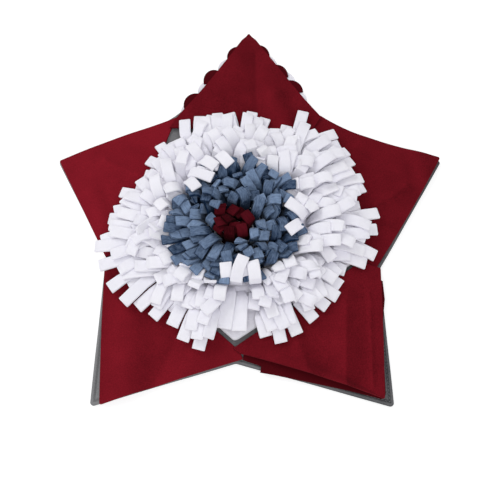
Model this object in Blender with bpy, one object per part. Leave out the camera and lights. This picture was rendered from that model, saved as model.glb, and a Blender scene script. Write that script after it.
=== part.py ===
"""Star-shaped snuffle mat: a grey felt star, dark-red felt flaps over its points, scalloped
petal rows under the top flap, and a round mound of fleece strips sewn down in rings.

The mat lies flat. The origin is under the middle of its outline, on the floor, with +Y towards
the top point of the star. Sizes are in millimetres, and MM turns them into metres.
"""

import math
import random
from collections import namedtuple

import bmesh
import bpy
from mathutils import Matrix, Vector

MM = 0.001

# ---------------------------------------------------------------- driving dimensions, mm

GAP = 0.3  # air kept between two pieces that lie on each other
BASE_THICK = 5.0  # two felt layers with the turned hem between them
FELT = 2.2  # one flap
PETAL_FELT = 1.5
PAD_THICK = 4.0
BAND_HEIGHT = 1.5  # sewing band that holds the strips of one ring
STRIP_THICK = 3.0  # fleece of the strips

# Heights of the undersides, from the floor up.
ON_BASE = BASE_THICK + GAP
ON_A_FLAP = ON_BASE + FELT + GAP
ON_LOWER_PETALS = ON_BASE + PETAL_FELT + GAP
ON_UPPER_PETALS = ON_LOWER_PETALS + PETAL_FELT + GAP
ON_PAD = ON_BASE + PAD_THICK + GAP

# Corners of the star, anticlockwise from its top tip. It is cut and sewn by hand, so no two
# points are quite alike.
STAR = {
    "tip_top": (-2.0, 207.0),
    "notch_upper_left": (-79.5, 96.5),
    "tip_left": (-201.4, 43.8),
    "notch_lower_left": (-143.0, -62.0),
    "tip_lower_left": (-146.0, -206.9),
    "notch_bottom": (-13.0, -167.4),
    "tip_lower_right": (131.4, -207.6),
    "notch_lower_right": (127.8, -75.0),
    "tip_right": (201.5, 44.3),
    "notch_upper_right": (75.5, 92.0),
}
TIP_ROUND = 3.0  # radius of the blunt tips
NOTCH_ROUND = 6.0
BASE_EDGE_ROUND = 1.3

STAR_CENTRE = Vector((-3.3, -23.7))
PAD_SHARE = 0.835  # the pad's corners lie this far along the way from centre to notch
PAD_ROUND = 9.0
PAD_EDGE_ROUND = 1.2
ARC_STEPS = 3  # sides of a rounded corner

# A crease is a soft ridge in the felt along a line, this wide either side of it, this high.
Crease = namedtuple("Crease", "start end width lift")
# A flap's corners: its tip, where its edges turn in at the two notches, and the ends of its
# inner edge beside the pad. Left and right are as seen from the mat's middle. A bow pushes the
# middle of a long edge out (+) or in (-).
Flap = namedtuple("Flap", "tip notch_right inner_right bow_right notch_left inner_left bow_left creases")
FLAPS = {
    "flap_top": Flap(
        (-1.4, 205.2), (74.2, 93.0), (63.5, 76.5), 0.0, (-76.5, 95.5), (-66.5, 83.0), -1.5,
        [Crease((8, 192), (16, 92), 11, 1.5), Crease((-26, 150), (-38, 96), 12, 0.8)],
    ),
    "flap_left": Flap(
        (-198.5, 42.8), (-75.5, 94.5), (-78.8, 86.0), 2.6, (-142.0, -63.5), (-119.5, -49.5), 0.0,
        [Crease((-190, 40), (-95, 40), 15, 1.3), Crease((-160, 5), (-112, 5), 12, 0.9)],
    ),
    "flap_lower_left": Flap(
        (-138.0, -204.3), (-142.5, -66.5), (-118.0, -59.5), 0.8, (-8.0, -163.5), (-10.5, -152.5), -0.5,
        [Crease((-118, -190), (-98, -96), 15, 1.4), Crease((-84, -176), (-48, -140), 13, 0.9)],
    ),
    "flap_lower_right": Flap(
        (121.8, -200.5), (-9.5, -157.0), (-11.5, -150.8), -1.2, (127.2, -76.0), (108.5, -66.5), 0.5,
        [
            Crease((102, -186), (84, -98), 9, 2.2),
            Crease((78, -176), (64, -112), 9, 1.4),
            Crease((116, -150), (112, -88), 8, 1.2),
        ],
    ),
    "flap_right": Flap(
        (197.5, 44.8), (126.6, -79.0), (112.0, -66.0), -1.0, (72.5, 93.0), (63.5, 78.5), -3.2,
        [Crease((186, 34), (104, -8), 14, 1.5), Crease((150, 52), (100, 38), 12, 0.9)],
    ),
}
FLAP_TIP_WIDTH = 4.0
FLAP_ROWS = 9  # cells from the notches to the tip
FLAP_COLUMNS = 8
# Between these two distances from the middle of the outline the top flap climbs onto the
# petal rows, and between these two it comes down to the base.
CLIMB = (84.0, 99.0)
DESCENT = (193.0, 203.0)

# Layer under the lower-right flap. It has slipped a little out of line, so it shows past the
# flap's lower edge beside the bottom notch and past the flap's right edge.
POCKET_LAYER = [
    (-5.5, -156.5), (-6.5, -164.7), (10.4, -170.6), (9.4, -176.3), (23.1, -178.7), (90.0, -192.5),
    (117.0, -194.5), (125.0, -136.0), (129.6, -107.0), (129.0, -88.5), (112.0, -78.0),
]

# Petal rows under the top flap, from the mat's middle to the tip: the two ends of each row's
# straight lower edge. The dark-red rows lie on the white rows at both their sides.
PetalRow = namedtuple("PetalRow", "left right petals material")
PETAL_ROWS = {
    "petal_row_1": PetalRow((-74.0, 97.0), (62.2, 115.5), 6, "fleece_white"),
    "petal_row_2": PetalRow((-71.0, 106.2), (58.0, 127.4), 5, "felt_dark_red"),
    "petal_row_3": PetalRow((-56.2, 122.9), (50.3, 139.1), 5, "fleece_white"),
    "petal_row_4": PetalRow((-50.6, 137.8), (42.0, 147.0), 4, "felt_dark_red"),
    "petal_row_5": PetalRow((-34.9, 152.9), (30.6, 160.2), 3, "fleece_white"),
    "petal_row_6": PetalRow((-25.1, 168.9), (21.9, 173.6), 2, "felt_dark_red"),
}
PETAL_REACH = 17.0  # from a row's lower edge to the tops of its petals
PETAL_BAND = 2.5  # uncut cloth below the notches between petals
PETAL_STEPS = 6  # sides of one petal's arc

# Rings of strips, from the rim of the mound to its middle: the ring's mean radius, its strips'
# width and length, how far their lengths spread (share), the tilt of a strip's end from
# upright and the most that its flat side twists (degrees).
Ring = namedtuple("Ring", "radius strips width length spread lean twist material")
RINGS = {
    "white_row_1": Ring(95.0, 46, 12.0, 38.0, 0.16, 104, 6, "fleece_white"),
    "white_row_2": Ring(85.5, 41, 12.0, 38.0, 0.10, 82, 7, "fleece_white"),
    "white_row_3": Ring(76.0, 36, 12.0, 38.0, 0.10, 69, 9, "fleece_white"),
    "white_row_4": Ring(66.5, 31, 12.0, 37.0, 0.10, 60, 11, "fleece_white"),
    "white_row_5": Ring(57.5, 27, 12.0, 36.0, 0.10, 52, 12, "fleece_white"),
    "blue_row_1": Ring(48.0, 26, 10.0, 34.0, 0.10, 44, 20, "fleece_blue"),
    "blue_row_2": Ring(39.5, 21, 10.0, 34.0, 0.10, 36, 24, "fleece_blue"),
    "blue_row_3": Ring(31.2, 17, 10.0, 34.0, 0.10, 28, 26, "fleece_blue"),
    "blue_row_4": Ring(23.0, 13, 9.5, 33.0, 0.10, 19, 24, "fleece_blue"),
    "red_row_1": Ring(14.8, 8, 9.5, 31.0, 0.10, 11, 16, "fleece_dark_red"),
    "red_row_2": Ring(6.6, 3, 9.0, 30.0, 0.05, 5, 8, "fleece_dark_red"),
}
RIM_CENTRE = Vector((-9.0, -27.0))
MOUND_CENTRE = Vector((-19.5, -34.5))  # the inner rings are sewn a little off centre
CORNER_BULGE = 0.036  # share by which the outer ring bulges towards the notches
CORNER_LENGTH = 0.16  # share by which its strips are longer there
CORNER_TURN = math.radians(51.6)  # bearing of the upper-right notch
RING_SAMPLES = 720
# No strip of the outer ring grows over the pad's lowest corner, between these two bearings.
BARE_CORNER = (math.radians(259), math.radians(282))
STRIP_LENGTHS = (0.22, 0.36, 0.42)  # a strip's three straight lengths, as shares
STRIP_LEANS = (0.41, 0.78, 1.0)  # tilt of each length, as a share of the end's lean
LEAN_SPREAD = 2.0  # degrees
SIDE_SPREAD = 2.2  # how far a strip's end may wander along its ring

SHARP_ANGLE = math.radians(40)
Finish = namedtuple("Finish", "red green blue roughness")
FINISHES = {
    "felt_grey": Finish(0.09, 0.09, 0.10, 0.95),
    "felt_dark_red": Finish(0.13, 0.008, 0.013, 0.95),
    "fleece_white": Finish(0.80, 0.79, 0.84, 0.97),
    "fleece_blue": Finish(0.09, 0.16, 0.27, 0.97),
    "fleece_dark_red": Finish(0.15, 0.008, 0.016, 0.97),
}

# ---------------------------------------------------------------- tools


def clear_scene():
    for thing in list(bpy.data.objects):
        bpy.data.objects.remove(thing, do_unlink=True)


def material(name):
    """The Principled material of that name, made once."""
    if name in bpy.data.materials:
        return bpy.data.materials[name]
    finish = FINISHES[name]
    made = bpy.data.materials.new(name)
    made.use_nodes = True
    shader = made.node_tree.nodes["Principled BSDF"]
    shader.inputs["Base Color"].default_value = (finish.red, finish.green, finish.blue, 1.0)
    shader.inputs["Roughness"].default_value = finish.roughness
    shader.inputs["Metallic"].default_value = 0.0
    return made


def add_object(name, shape, material_name):
    """An object of that name from a bmesh in metres."""
    mesh = bpy.data.meshes.new(name)
    shape.to_mesh(mesh)
    shape.free()
    mesh.shade_smooth()
    mesh.set_sharp_from_angle(angle=SHARP_ANGLE)
    mesh.materials.append(material(material_name))
    body = bpy.data.objects.new(name, mesh)
    bpy.context.scene.collection.objects.link(body)
    return body


def thicken(body, thickness):
    """Grows a surface that faces up into a sheet, upwards from its underside."""
    solidify = body.modifiers.new("thickness", "SOLIDIFY")
    solidify.thickness = thickness * MM
    solidify.offset = 1.0


def soften_edges(body, radius, segments):
    bevel = body.modifiers.new("soft_edge", "BEVEL")
    bevel.width = radius * MM
    bevel.segments = segments
    bevel.limit_method = "ANGLE"
    bevel.angle_limit = math.radians(60)


def flat_piece(name, outline, underside, thickness, material_name):
    """A flat piece cut to an anticlockwise outline."""
    shape = bmesh.new()
    shape.faces.new([shape.verts.new(Vector((p.x, p.y, underside)) * MM) for p in outline])
    body = add_object(name, shape, material_name)
    thicken(body, thickness)
    return body


def rounded(corners, radii):
    """The outline with each corner replaced by an arc that is tangent to both its sides."""
    outline = []
    for i, corner in enumerate(corners):
        here = Vector(corner)
        back = (Vector(corners[i - 1]) - here).normalized()
        ahead = (Vector(corners[(i + 1) % len(corners)]) - here).normalized()
        half = back.angle(ahead) / 2
        centre = here + (back + ahead).normalized() * radii[i] / math.sin(half)
        reach = radii[i] / math.tan(half)
        start = here + back * reach - centre
        turn = start.angle_signed(here + ahead * reach - centre)
        outline += [
            centre + Matrix.Rotation(-turn * step / ARC_STEPS, 2) @ start for step in range(ARC_STEPS + 1)
        ]
    return outline


def smooth_step(low, high, value):
    """0 below low, 1 above high, with soft ends between."""
    share = min(max((value - low) / (high - low), 0.0), 1.0)
    return share * share * (3 - 2 * share)


# ---------------------------------------------------------------- base and pad


def base_star():
    radii = [TIP_ROUND if corner.startswith("tip") else NOTCH_ROUND for corner in STAR]
    body = flat_piece("base_star", rounded(list(STAR.values()), radii), 0.0, BASE_THICK, "felt_grey")
    soften_edges(body, BASE_EDGE_ROUND, 2)


def fringe_pad():
    notches = [Vector(place) for corner, place in STAR.items() if corner.startswith("notch")]
    corners = [STAR_CENTRE.lerp(notch, PAD_SHARE) for notch in notches]
    outline = rounded(corners, [PAD_ROUND] * len(corners))
    body = flat_piece("fringe_pad", outline, ON_BASE, PAD_THICK, "fleece_white")
    soften_edges(body, PAD_EDGE_ROUND, 1)


# ---------------------------------------------------------------- flaps


def crease_lift(place, creases):
    """How far the creases lift the felt there: each a raised cosine across its line."""
    lift = 0.0
    for crease in creases:
        start, end = Vector(crease.start), Vector(crease.end)
        along = end - start
        share = (place - start).dot(along) / along.length_squared
        distance = (place - start - along * min(max(share, 0.0), 1.0)).length
        if distance < crease.width:
            lift += crease.lift * (0.5 + 0.5 * math.cos(math.pi * distance / crease.width))
    return lift


def flap_underside(name, place):
    """Height of the underside of a flap there, before its creases."""
    if name == "flap_top":
        crest = ON_A_FLAP + (ON_UPPER_PETALS - ON_A_FLAP) * smooth_step(*CLIMB, place.y)
        return crest + (ON_BASE - crest) * smooth_step(*DESCENT, place.y)
    if name == "flap_lower_right":
        return ON_A_FLAP
    return ON_BASE


def bowed(start, end, bow):
    """Places from start to end, the middle pushed to the right of the way by bow."""
    side = -(end - start).orthogonal().normalized()
    shares = [row / FLAP_ROWS for row in range(FLAP_ROWS + 1)]
    return [start.lerp(end, share) + side * bow * math.sin(math.pi * share) for share in shares]


def flap(name, row):
    """A flap, laid out in rows across from its inner edge to its blunt tip."""
    tip, notch_left, notch_right = Vector(row.tip), Vector(row.notch_left), Vector(row.notch_right)
    half_tip = (notch_right - notch_left).normalized() * FLAP_TIP_WIDTH / 2
    right = [Vector(row.inner_right)] + bowed(notch_right, tip + half_tip, row.bow_right)
    left = [Vector(row.inner_left)] + bowed(notch_left, tip - half_tip, -row.bow_left)
    shape = bmesh.new()
    grid = []
    for left_end, right_end in zip(left, right):
        places = [left_end.lerp(right_end, column / FLAP_COLUMNS) for column in range(FLAP_COLUMNS + 1)]
        heights = [flap_underside(name, place) + crease_lift(place, row.creases) for place in places]
        grid.append([shape.verts.new(Vector((*place, z)) * MM) for place, z in zip(places, heights)])
    for near, far in zip(grid, grid[1:]):
        for column in range(FLAP_COLUMNS):
            shape.faces.new([near[column], near[column + 1], far[column + 1], far[column]])
    thicken(add_object(name, shape, "felt_dark_red"), FELT)


def pocket_layer():
    outline = [Vector(place) for place in POCKET_LAYER]
    flat_piece("under_flap_lower_right", outline, ON_BASE, FELT, "felt_dark_red")


# ---------------------------------------------------------------- petals


def petal_row(name, row):
    """A strip of cloth with a straight lower edge and a scalloped upper one."""
    left, right = Vector(row.left), Vector(row.right)
    up = Vector((left.y - right.y, right.x - left.x)).normalized()
    outline = [left, right]
    for petal in reversed(range(row.petals)):
        for step in range(PETAL_STEPS + (petal == 0)):
            turn = math.pi * step / PETAL_STEPS
            share = (petal + 0.5 + 0.5 * math.cos(turn)) / row.petals
            reach = PETAL_BAND + (PETAL_REACH - PETAL_BAND) * math.sin(turn)
            outline.append(left.lerp(right, share) + up * reach)
    underside = ON_LOWER_PETALS if row.material == "felt_dark_red" else ON_BASE
    flat_piece(name, outline, underside, PETAL_FELT, row.material)


# ---------------------------------------------------------------- fleece strips


def ring_roots(ring):
    """Places spaced evenly along a ring: each with the ring's heading there and its bearing."""
    share = ring.radius / RINGS["white_row_1"].radius
    centre = MOUND_CENTRE.lerp(RIM_CENTRE, share)

    def at(turn):
        reach = ring.radius * (1 + CORNER_BULGE * share * math.cos(5 * (turn - CORNER_TURN)))
        return centre + Vector((math.cos(turn), math.sin(turn))) * reach

    step = 2 * math.pi / RING_SAMPLES
    travelled = [0.0]
    for sample in range(RING_SAMPLES):
        travelled.append(travelled[-1] + (at((sample + 1) * step) - at(sample * step)).length)
    roots = []
    sample = 0
    for strip in range(ring.strips):
        wanted = travelled[-1] * strip / ring.strips
        while travelled[sample + 1] < wanted:
            sample += 1
        over = (wanted - travelled[sample]) / (travelled[sample + 1] - travelled[sample])
        bearing = (sample + over) * step
        heading = (at(bearing + step) - at(bearing - step)).normalized()
        roots.append((at(bearing), heading, bearing))
    return roots


def strip_sections(root, ring, bearing, chance):
    """Corners of a strip's cross-sections beyond its root, each outer side first."""
    share = ring.radius / RINGS["white_row_1"].radius
    longer = 1 + CORNER_LENGTH * share * math.cos(5 * (bearing - CORNER_TURN))
    length = ring.length * longer * (1 + chance.uniform(-ring.spread, ring.spread))
    lean = ring.lean + chance.uniform(-LEAN_SPREAD, LEAN_SPREAD)
    wander = chance.uniform(-SIDE_SPREAD, SIDE_SPREAD)
    twist = math.radians(chance.uniform(-ring.twist, ring.twist))
    outward = Vector((math.cos(bearing), math.sin(bearing), 0.0))
    sideways = Vector((-outward.y, outward.x, 0.0))
    place = Vector((root.x, root.y, ON_PAD + BAND_HEIGHT))
    done = 0.0
    sections = []
    for length_share, lean_share in zip(STRIP_LENGTHS, STRIP_LEANS):
        tilt = math.radians(lean * lean_share)
        done += length_share
        heading = outward * math.sin(tilt) + Vector((0.0, 0.0, math.cos(tilt)))
        place = place + heading * length * length_share + sideways * wander * length_share * done
        across = Matrix.Rotation(twist * done, 3, heading) @ sideways
        half_width = across * ring.width / 2
        half_thick = across.cross(heading) * STRIP_THICK / 2
        outer, inner = place + half_thick, place - half_thick
        sections.append([outer - half_width, outer + half_width, inner + half_width, inner - half_width])
    return sections


def strip_ring(name, ring, chance):
    """A ring's sewing band, with a strip extruded from each stretch of its upper face."""
    roots = ring_roots(ring)
    shape = bmesh.new()
    stations = []
    for root, heading, _ in roots:
        outward = Vector((heading.y, -heading.x)) * STRIP_THICK / 2
        for end in (root - heading * ring.width / 2, root + heading * ring.width / 2):
            corners = [
                (*(end + outward), ON_PAD + BAND_HEIGHT),
                (*(end - outward), ON_PAD + BAND_HEIGHT),
                (*(end - outward), ON_PAD),
                (*(end + outward), ON_PAD),
            ]
            stations.append([shape.verts.new(Vector(corner) * MM) for corner in corners])
    upper_faces = []
    for here, ahead in zip(stations, stations[1:] + stations[:1]):
        upper_faces.append(shape.faces.new([here[0], ahead[0], ahead[1], here[1]]))
        for i, j in ((1, 2), (2, 3), (3, 0)):
            shape.faces.new([here[i], ahead[i], ahead[j], here[j]])
    for strip, (root, _, bearing) in enumerate(roots):
        sections = strip_sections(root, ring, bearing, chance)
        if name == "white_row_1" and BARE_CORNER[0] < bearing < BARE_CORNER[1]:
            continue
        face = upper_faces[2 * strip]
        for section in sections:
            face = bmesh.ops.extrude_discrete_faces(shape, faces=[face])["faces"][0]
            for corner, place in zip(face.verts, section):
                corner.co = place * MM
    add_object(name, shape, ring.material)


clear_scene()
base_star()
fringe_pad()
for flap_name, flap_row in FLAPS.items():
    flap(flap_name, flap_row)
pocket_layer()
for petal_name, petal_data in PETAL_ROWS.items():
    petal_row(petal_name, petal_data)
strip_chance = random.Random(7)
for ring_name, ring_row in RINGS.items():
    strip_ring(ring_name, ring_row, strip_chance)
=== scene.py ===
# %% [markdown]
# # A star-shaped snuffle mat
#
# A snuffle mat hides dry food in cloth, for a dog to nose out. This one is a grey felt star. A
# dark-red felt flap lies over each of its five points, scalloped petals peep out under the top
# flap, and a round mound of cut fleece strips grows from its middle.
#
# The measured model of the mat comes in first. It fixes where everything goes, and each plain
# solid in it is then replaced by a finer piece of the same size in the same place.

# %% Load the measured model
import math
from collections import namedtuple

import bpy
import numpy as np
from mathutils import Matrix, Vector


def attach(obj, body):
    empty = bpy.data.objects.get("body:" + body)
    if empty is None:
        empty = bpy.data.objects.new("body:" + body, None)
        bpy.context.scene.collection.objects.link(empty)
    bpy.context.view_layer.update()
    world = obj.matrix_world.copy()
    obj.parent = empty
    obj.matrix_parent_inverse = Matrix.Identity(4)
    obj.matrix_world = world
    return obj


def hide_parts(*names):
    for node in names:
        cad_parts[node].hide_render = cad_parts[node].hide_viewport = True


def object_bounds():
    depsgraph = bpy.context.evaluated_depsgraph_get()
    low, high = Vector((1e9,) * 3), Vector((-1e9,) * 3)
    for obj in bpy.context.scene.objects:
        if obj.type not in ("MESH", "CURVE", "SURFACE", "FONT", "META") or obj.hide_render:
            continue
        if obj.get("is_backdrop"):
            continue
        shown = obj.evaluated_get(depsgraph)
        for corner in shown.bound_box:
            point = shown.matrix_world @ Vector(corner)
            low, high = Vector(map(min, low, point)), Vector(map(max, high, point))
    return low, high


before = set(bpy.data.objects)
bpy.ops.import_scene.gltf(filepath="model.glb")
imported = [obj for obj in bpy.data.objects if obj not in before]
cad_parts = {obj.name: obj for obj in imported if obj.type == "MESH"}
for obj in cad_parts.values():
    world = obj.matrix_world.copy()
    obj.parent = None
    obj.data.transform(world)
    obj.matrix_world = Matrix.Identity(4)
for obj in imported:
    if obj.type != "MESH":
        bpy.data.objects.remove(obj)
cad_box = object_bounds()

MM = 0.001
print("solids in the model:", len(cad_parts))

# %% [markdown]
# ## Camera, light and floor
#
# The mat lies flat, so the camera looks down on it, tipped 20 degrees from straight above. Two
# large soft lamps stand in a bright, even surround. The one at the upper left gives the folds a
# light side and a dark side, and the one beside the camera shines into the gaps between strips.
# Small lamps would throw hard shadows and hide the shapes.

# %% Camera
TILT = math.radians(20)
CAMERA_DISTANCE = 0.6019
LOOKS_AT = np.array([0.0, -0.05356, 0.0])


def in_scene(name, data):
    """An object of that name in the scene."""
    made = bpy.data.objects.new(name, data)
    bpy.context.scene.collection.objects.link(made)
    return made


camera = in_scene("camera", bpy.data.cameras.new("camera"))
camera.data.lens = 43.2
camera.data.sensor_width = 36.0
camera.location = LOOKS_AT + CAMERA_DISTANCE * np.array([0.0, -math.sin(TILT), math.cos(TILT)])
camera.rotation_euler = (TILT, 0.0, 0.0)
bpy.context.scene.camera = camera
print("camera height in mm:", round(camera.location.z / MM))

# %% Light
bpy.context.scene.view_settings.view_transform = "Standard"
surround = bpy.data.worlds.new("surround")
bpy.context.scene.world = surround
surround.use_nodes = True


def set_inputs(node, values):
    """Sets a shader node's inputs by name."""
    for name, value in values.items():
        node.inputs[name].default_value = value


def soft_lamp(name, place, size, power):
    """A square lamp at a place, turned towards the middle of the mat."""
    lamp = in_scene(name, bpy.data.lights.new(name, "AREA"))
    lamp.data.size = size
    lamp.data.energy = power
    lamp.location = place
    lamp.rotation_euler = (-lamp.location).to_track_quat("-Z", "Y").to_euler()
    print(f"{name}: {size} m wide, {power} W")


background = surround.node_tree.nodes["Background"]
set_inputs(background, {"Color": (0.98, 0.99, 1.0, 1.0), "Strength": 0.50})
soft_lamp("key_lamp", (-0.75, 0.55, 1.05), 0.7, 5.2)
soft_lamp("fill_lamp", (0.10, -0.65, 1.30), 1.0, 7.5)

# %% [markdown]
# ## Helpers that put whole arrays of points into meshes
#
# Every piece is worked out as an array of points first, of one of two kinds. A *loft* is a stack
# of closed rings, each joined to the next: the star, the pad, every strip and every stitch. A
# *cloth sheet* is a rectangular grid of points with a thickness.

# %% Put a mesh in the scene
Finish = namedtuple("Finish", "slot material")


def put_mesh(name, points, faces, cloth, replaced, tones, sharp=60.0, weave=None):
    """A piece from points in millimetres and faces. It stands for the solids in replaced. Tones,
    one a point or one for all, say how light the cloth is, from about 0 to 1. Weave says where
    each point lies in its own cloth, and is its place in the mat if not given."""
    finish = FINISHES[cloth]
    points = np.asarray(points, float).reshape(-1, 3) * MM
    weave = points if weave is None else weave.reshape(-1, 3) * MM
    tones = np.ascontiguousarray(np.broadcast_to(np.asarray(tones, np.float32), len(points)))
    mesh = bpy.data.meshes.new(name)
    mesh.from_pydata(points.tolist(), [], faces)
    mesh.attributes.new("weave", "FLOAT_VECTOR", "POINT").data.foreach_set("vector", weave.ravel())
    mesh.attributes.new("tone", "FLOAT", "POINT").data.foreach_set("value", tones)
    mesh.shade_smooth()
    mesh.set_sharp_from_angle(angle=math.radians(sharp))
    mesh.materials.append(finish.material)
    piece = in_scene(name, mesh)
    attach(piece, "root")
    if replaced:
        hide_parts(*replaced)
    print(f"{name}: {len(mesh.vertices)} points, {len(mesh.polygons)} faces")
    return piece


def loft_faces(points):
    """Faces of one loft, or many at once, from points by ring and by place round it.

    Point p of ring r joins points p and p + 1 of ring r + 1, and the first and last rings are
    closed by a face each. Rings run anticlockwise about the way from first ring to last.
    """
    number = np.arange(points.size // 3).reshape(-1, *points.shape[-3:-1])
    here, ahead = number[:, :-1], number[:, 1:]
    corners = [here, np.roll(here, -1, 2), np.roll(ahead, -1, 2), ahead]
    sides = np.stack(corners, -1).reshape(-1, 4).tolist()
    return sides + number[:, 0, ::-1].tolist() + number[:, -1].tolist()


def unit(vectors):
    """Vectors of length one in the same directions."""
    return vectors / np.maximum(np.linalg.norm(vectors, axis=-1, keepdims=True), 1e-9)


def smooth_step(low, high, value):
    """3 t^2 - 2 t^3, where t goes from 0 at low to 1 at high."""
    share = np.clip((value - low) / (high - low), 0.0, 1.0)
    return share * share * (3 - 2 * share)


def slow_wave(across, along, seed, length):
    """A smooth uneven surface from -1 to 1: the mean of five sine waves about one length long, in
    directions drawn from the seed."""
    draw = np.random.default_rng(seed)
    total = 0.0
    for turn, stretch, phase in draw.uniform((0, 0.7, 0), (math.pi, 1.5, 2 * math.pi), (5, 3)):
        way = across * math.cos(turn) + along * math.sin(turn)
        total = total + np.sin(2 * math.pi * way / (length * stretch) + phase)
    return total / 5

# %% [markdown]
# ## Felt and fleece
#
# Needle felt is a mat of tangled fibres: dull, with a fine grain and slow light and dark
# patches. Polar fleece is knitted and brushed, so it is fluffier, catches light at its edges and
# has fine ribs along each strip. A scanned texture could show this, but it would blur from near
# and repeat. So both are made of two noises, a grain and a patch. Ribs are the grain drawn out
# along the cloth, so the grain reads where a point lies in its own cloth, which each piece keeps
# as an attribute. All of this is in metres, so a scale of 1000 is a grain of one millimetre.

# %% Materials
Cloth = namedtuple("Cloth", "dark light grain ribs patch bump sheen tint")
CLOTHS = {
    "felt_grey": Cloth((0.050, 0.050, 0.054), (0.240, 0.240, 0.248), 1100, 1.0, 55, 0.35, 0.05, 0.5),
    "felt_dark_red": Cloth((0.070, 0.0029, 0.0057), (0.262, 0.0110, 0.0215), 1000, 1.0, 42, 0.35, 0.03, 0.7),
    "fleece_white": Cloth((0.850, 0.838, 0.910), (0.900, 0.888, 0.947), 800, 0.3, 180, 0.45, 0.10, 0.3),
    "fleece_blue": Cloth((0.005, 0.020, 0.056), (0.250, 0.345, 0.516), 800, 0.3, 180, 0.60, 0.12, 0.5),
    "fleece_dark_red": Cloth((0.012, 0.0006, 0.0014), (0.100, 0.006, 0.012), 800, 0.3, 180, 0.50, 0.03, 0.7),
}
GREY_FELT, RED_FELT, WHITE, BLUE, RED = CLOTHS
GRAIN_SHARE, PATCH_SHARE, TONE_SHARE = 0.45, 0.20, 0.20
DARKEST_AT, LIGHTEST_AT = 0.175, 0.675
ROUGHNESS, SHINE, SHEEN_ROUGHNESS = 0.95, 0.03, 0.5
GRAIN_HEIGHT = 0.4 * MM
LIGHT_LET_IN, COMES_OUT_WITHIN = 0.25, 2.0 * MM


def cloth_material(name, cloth):
    """Colour goes from dark to light by 0.45 grain + 0.2 patch + 0.2 tone, the piece's own
    attribute. The grain also raises the surface, and white cloth lets some light in."""
    made = bpy.data.materials.new(name + "_cloth")
    made.use_nodes = True
    nodes, wires = made.node_tree.nodes, made.node_tree.links
    shader = nodes["Principled BSDF"]

    def node(kind, **values):
        new = nodes.new("ShaderNode" + kind)
        set_inputs(new, values)
        return new

    def noise(source, scale, detail):
        grains = node("TexNoise", Scale=scale, Detail=detail)
        wires.new(source, grains.inputs["Vector"])
        return grains.outputs[0]

    def weighed(socket, share, so_far=None):
        step = node("Math")
        step.operation = "MULTIPLY_ADD" if so_far else "MULTIPLY"
        step.inputs[1].default_value = share
        wires.new(socket, step.inputs[0])
        if so_far:
            wires.new(so_far, step.inputs[2])
        return step.outputs[0]

    place = node("TexCoord").outputs["Object"]
    tone, weave = node("Attribute"), node("Attribute")
    tone.attribute_name, weave.attribute_name = "tone", "weave"
    drawn_out = node("Mapping", Scale=(1.0, cloth.ribs, 1.0))
    wires.new(weave.outputs["Vector"], drawn_out.inputs["Vector"])
    grain = noise(drawn_out.outputs["Vector"], cloth.grain, 4.0)
    total = weighed(grain, GRAIN_SHARE)
    total = weighed(noise(place, cloth.patch, 3.0), PATCH_SHARE, total)
    total = weighed(tone.outputs["Fac"], TONE_SHARE, total)
    ramp = node("ValToRGB")
    ends = ramp.color_ramp.elements
    ends[0].position, ends[1].position = DARKEST_AT, LIGHTEST_AT
    ends[0].color, ends[1].color = (*cloth.dark, 1.0), (*cloth.light, 1.0)
    wires.new(total, ramp.inputs["Fac"])
    wires.new(ramp.outputs["Color"], shader.inputs["Base Color"])
    bump = node("Bump", Strength=cloth.bump, Distance=GRAIN_HEIGHT)
    wires.new(grain, bump.inputs["Height"])
    wires.new(bump.outputs["Normal"], shader.inputs["Normal"])
    tint = [1 + (channel / max(cloth.light) - 1) * cloth.tint for channel in cloth.light]
    set_inputs(shader, {
        "Roughness": ROUGHNESS, "Specular IOR Level": SHINE, "Sheen Weight": cloth.sheen,
        "Sheen Roughness": SHEEN_ROUGHNESS, "Sheen Tint": (*tint, 1.0),
    })
    if max(cloth.light) > 0.5:
        set_inputs(shader, {
            "Subsurface Weight": LIGHT_LET_IN, "Subsurface Radius": (1.0, 1.0, 1.0),
            "Subsurface Scale": COMES_OUT_WITHIN,
        })
    return Finish(name, made)


FINISHES = {name: cloth_material(name, cloth) for name, cloth in CLOTHS.items()}
print("cloths:", ", ".join(FINISHES))

# %% [markdown]
# ## The floor
#
# A plain pale floor. It glows a little, so that it comes out nearly white in a light soft enough
# for the cloth.

# %% Floor
FLOOR_HALF, FLOOR_DROP = 3.0, 0.2 * MM
floor_mesh = bpy.data.meshes.new("floor")
corners = FLOOR_HALF * np.array([(-1, -1, 0), (1, -1, 0), (1, 1, 0), (-1, 1, 0)])
floor_mesh.from_pydata((corners - (0, 0, FLOOR_DROP)).tolist(), [], [(0, 1, 2, 3)])
floor_paint = bpy.data.materials.new("pale_floor")
floor_paint.use_nodes = True
set_inputs(floor_paint.node_tree.nodes["Principled BSDF"], {
    "Base Color": (0.62, 0.62, 0.62, 1.0), "Roughness": 0.9,
    "Emission Color": (1.0, 1.0, 1.0, 1.0), "Emission Strength": 0.55,
})
floor_mesh.materials.append(floor_paint)
floor = in_scene("floor", floor_mesh)
floor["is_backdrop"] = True
print("floor:", 2 * FLOOR_HALF, "m wide")

# %% [markdown]
# ## The base: a hemmed felt star
#
# Two grey felt stars are sewn together with their edges turned in, which leaves a soft roll all
# round and a line of stitches a few millimetres inside it. A slab with a bevel would have the
# roll but no groove for the stitches. So it is a loft: the star's outline is drawn again and
# again, each time further in, and lifted to the height that the hem's profile has there. Near the
# middle the copies simply shrink towards one point.

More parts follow.
